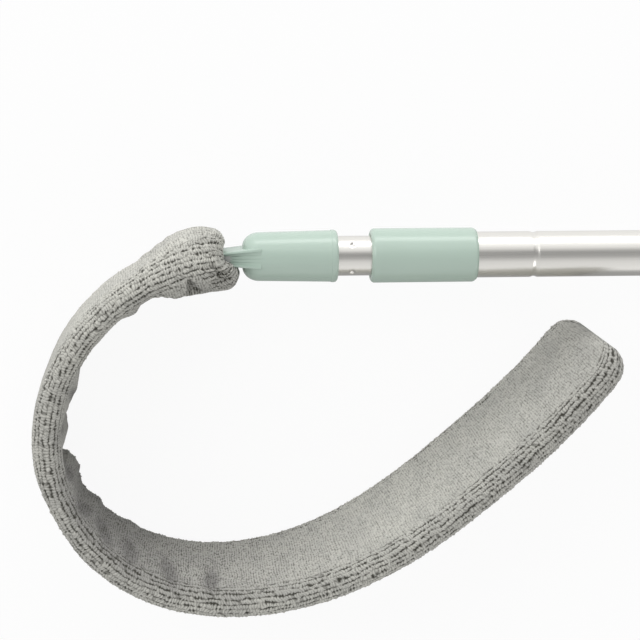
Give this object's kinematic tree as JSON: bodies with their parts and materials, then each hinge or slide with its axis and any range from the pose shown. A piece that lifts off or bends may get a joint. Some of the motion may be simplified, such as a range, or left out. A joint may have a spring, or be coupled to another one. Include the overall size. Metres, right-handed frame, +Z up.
{
  "type": "telescopic duster",
  "caption": "Extending tube duster with a twist-lock pole, a push-on neck and a flat looped-pile head that bends round on a flexible core.",
  "frame": {"origin": "middle of the flat butt end, on the pole's axis", "axes": "+X along the pole towards its butt, +Z up from the table that the duster lies on, and the head bends round towards -Y"},
  "size_m": [0.6229, 0.1583, 0.0545],
  "materials": {
    "sage_plastic": "pale green moulded polypropylene, satin",
    "white_nylon": "natural moulded nylon",
    "anodised_tube": "clear anodised drawn tube, satin",
    "rivet_steel": "plain steel rivets",
    "grey_pile": "grey looped microfibre pile",
    "grey_elastic": "woven elastic",
    "core_plastic": "natural moulded polypropylene"
  },
  "bodies": {
    "pole": {"outer_tube": "anodised_tube", "collar": "sage_plastic", "handle_grip": "sage_plastic", "end_plug": "sage_plastic"},
    "guide": {"guide_ring": "white_nylon"},
    "inner_pole": {"inner_tube": "anodised_tube", "tip_plug": "white_nylon", "cam_plug": "white_nylon"},
    "cam": {"cam_ring": "core_plastic"},
    "neck": {"neck": "sage_plastic", "core_rivet_1": "rivet_steel", "core_rivet_2": "rivet_steel", "sleeve_elastic": "grey_elastic", "core_01": "core_plastic", "sleeve_01": "grey_pile"},
    "head_02": {"core_02": "core_plastic", "sleeve_02": "grey_pile"},
    "head_03": {"core_03": "core_plastic", "sleeve_03": "grey_pile"},
    "head_04": {"core_04": "core_plastic", "sleeve_04": "grey_pile"},
    "head_05": {"core_05": "core_plastic", "sleeve_05": "grey_pile"},
    "head_06": {"core_06": "core_plastic", "sleeve_06": "grey_pile"},
    "head_07": {"core_07": "core_plastic", "sleeve_07": "grey_pile"},
    "head_08": {"core_08": "core_plastic", "sleeve_08": "grey_pile"},
    "head_09": {"core_09": "core_plastic", "sleeve_09": "grey_pile"},
    "head_10": {"core_10": "core_plastic", "sleeve_10": "grey_pile"},
    "head_11": {"core_11": "core_plastic", "sleeve_11": "grey_pile"},
    "head_12": {"core_12": "core_plastic", "sleeve_12": "grey_pile"}
  },
  "joints": [
    {"name": "pole_extend", "type": "slide", "parent": "pole", "child": "guide", "axis": [-1, 0, 0], "range_m": [0, 0.353]},
    {"name": "pole_turn", "type": "hinge", "parent": "guide", "child": "inner_pole", "pos_m": [-0.0612, 0, 0], "axis": [-1, 0, 0], "range_deg": [-90, 90]},
    {"name": "cam_swing", "type": "hinge", "parent": "inner_pole", "child": "cam", "pos_m": [-0.0509, 0, 0.00045], "axis": [-1, 0, 0], "range_deg": [-90, 90]},
    {"name": "head_pull", "type": "slide", "parent": "inner_pole", "child": "neck", "axis": [-1, 0, 0], "range_m": [0, 0.034]},
    {"name": "head_flex_01", "type": "hinge", "parent": "neck", "child": "head_02", "pos_m": [-0.56903, -0.00536, 0], "axis": [-0.0011, 0.0028, -1], "range_deg": [0, 33.38], "deforming": ["sleeve_01", "sleeve_02"]},
    {"name": "head_flex_02", "type": "hinge", "parent": "head_02", "child": "head_03", "pos_m": [-0.59797, -0.02455, 0], "axis": [-0.0071, 0.0066, -1], "range_deg": [0, 27.68], "deforming": ["sleeve_02", "sleeve_03"]},
    {"name": "head_flex_03", "type": "hinge", "parent": "head_03", "child": "head_04", "pos_m": [-0.61469, -0.05489, 0], "axis": [-0.0014, 0.0003, -1], "range_deg": [0, 30.45], "deforming": ["sleeve_03", "sleeve_04"]},
    {"name": "head_flex_04", "type": "hinge", "parent": "head_04", "child": "head_05", "pos_m": [-0.61369, -0.08944, 0], "axis": [0.0361, 0.0117, -0.9993], "range_deg": [0, 32.75], "deforming": ["sleeve_04", "sleeve_05"]},
    {"name": "head_flex_05", "type": "hinge", "parent": "head_05", "child": "head_06", "pos_m": [-0.59433, -0.11809, 0], "axis": [0.0648, 0.0759, -0.995], "range_deg": [0, 30.12], "deforming": ["sleeve_05", "sleeve_06"]},
    {"name": "head_flex_06", "type": "hinge", "parent": "head_06", "child": "head_07", "pos_m": [-0.56315, -0.13323, 0], "axis": [0.0345, 0.1593, -0.9866], "range_deg": [0, 24.75], "deforming": ["sleeve_06", "sleeve_07"]},
    {"name": "head_flex_07", "type": "hinge", "parent": "head_07", "child": "head_08", "pos_m": [-0.52833, -0.13397, 0], "axis": [-0.0329, 0.2185, -0.9753], "range_deg": [0, 17.75], "deforming": ["sleeve_07", "sleeve_08"]},
    {"name": "head_flex_08", "type": "hinge", "parent": "head_08", "child": "head_09", "pos_m": [-0.49489, -0.12396, 0], "axis": [-0.1138, 0.2538, -0.9605], "range_deg": [0, 13.59], "deforming": ["sleeve_08", "sleeve_09"]},
    {"name": "head_flex_09", "type": "hinge", "parent": "head_09", "child": "head_10", "pos_m": [-0.46467, -0.10638, 0], "axis": [-0.1854, 0.2613, -0.9473], "range_deg": [0, 8.16], "deforming": ["sleeve_09", "sleeve_10"]},
    {"name": "head_flex_10", "type": "hinge", "parent": "head_10", "child": "head_11", "pos_m": [-0.43719, -0.08469, 0], "axis": [-0.218, 0.2574, -0.9414], "range_deg": [0, 3.69], "deforming": ["sleeve_10", "sleeve_11"]},
    {"name": "head_flex_11", "type": "hinge", "parent": "head_11", "child": "head_12", "pos_m": [-0.41135, -0.06107, 0], "axis": [-0.2404, 0.2379, -0.9411], "range_deg": [0, 6.58], "deforming": ["sleeve_11", "sleeve_12"]}
  ],
  "couplings": [
    {"joint": "cam_swing", "follows": "pole_turn", "ratio": -1},
    {"joint": "head_flex_02", "follows": "head_flex_01", "ratio": 0.8291},
    {"joint": "head_flex_03", "follows": "head_flex_01", "ratio": 0.912},
    {"joint": "head_flex_04", "follows": "head_flex_01", "ratio": 0.9808},
    {"joint": "head_flex_05", "follows": "head_flex_01", "ratio": 0.9022},
    {"joint": "head_flex_06", "follows": "head_flex_01", "ratio": 0.7411},
    {"joint": "head_flex_07", "follows": "head_flex_01", "ratio": 0.5313},
    {"joint": "head_flex_08", "follows": "head_flex_01", "ratio": 0.4069},
    {"joint": "head_flex_09", "follows": "head_flex_01", "ratio": 0.2442},
    {"joint": "head_flex_10", "follows": "head_flex_01", "ratio": 0.1104},
    {"joint": "head_flex_11", "follows": "head_flex_01", "ratio": 0.1969}
  ]
}
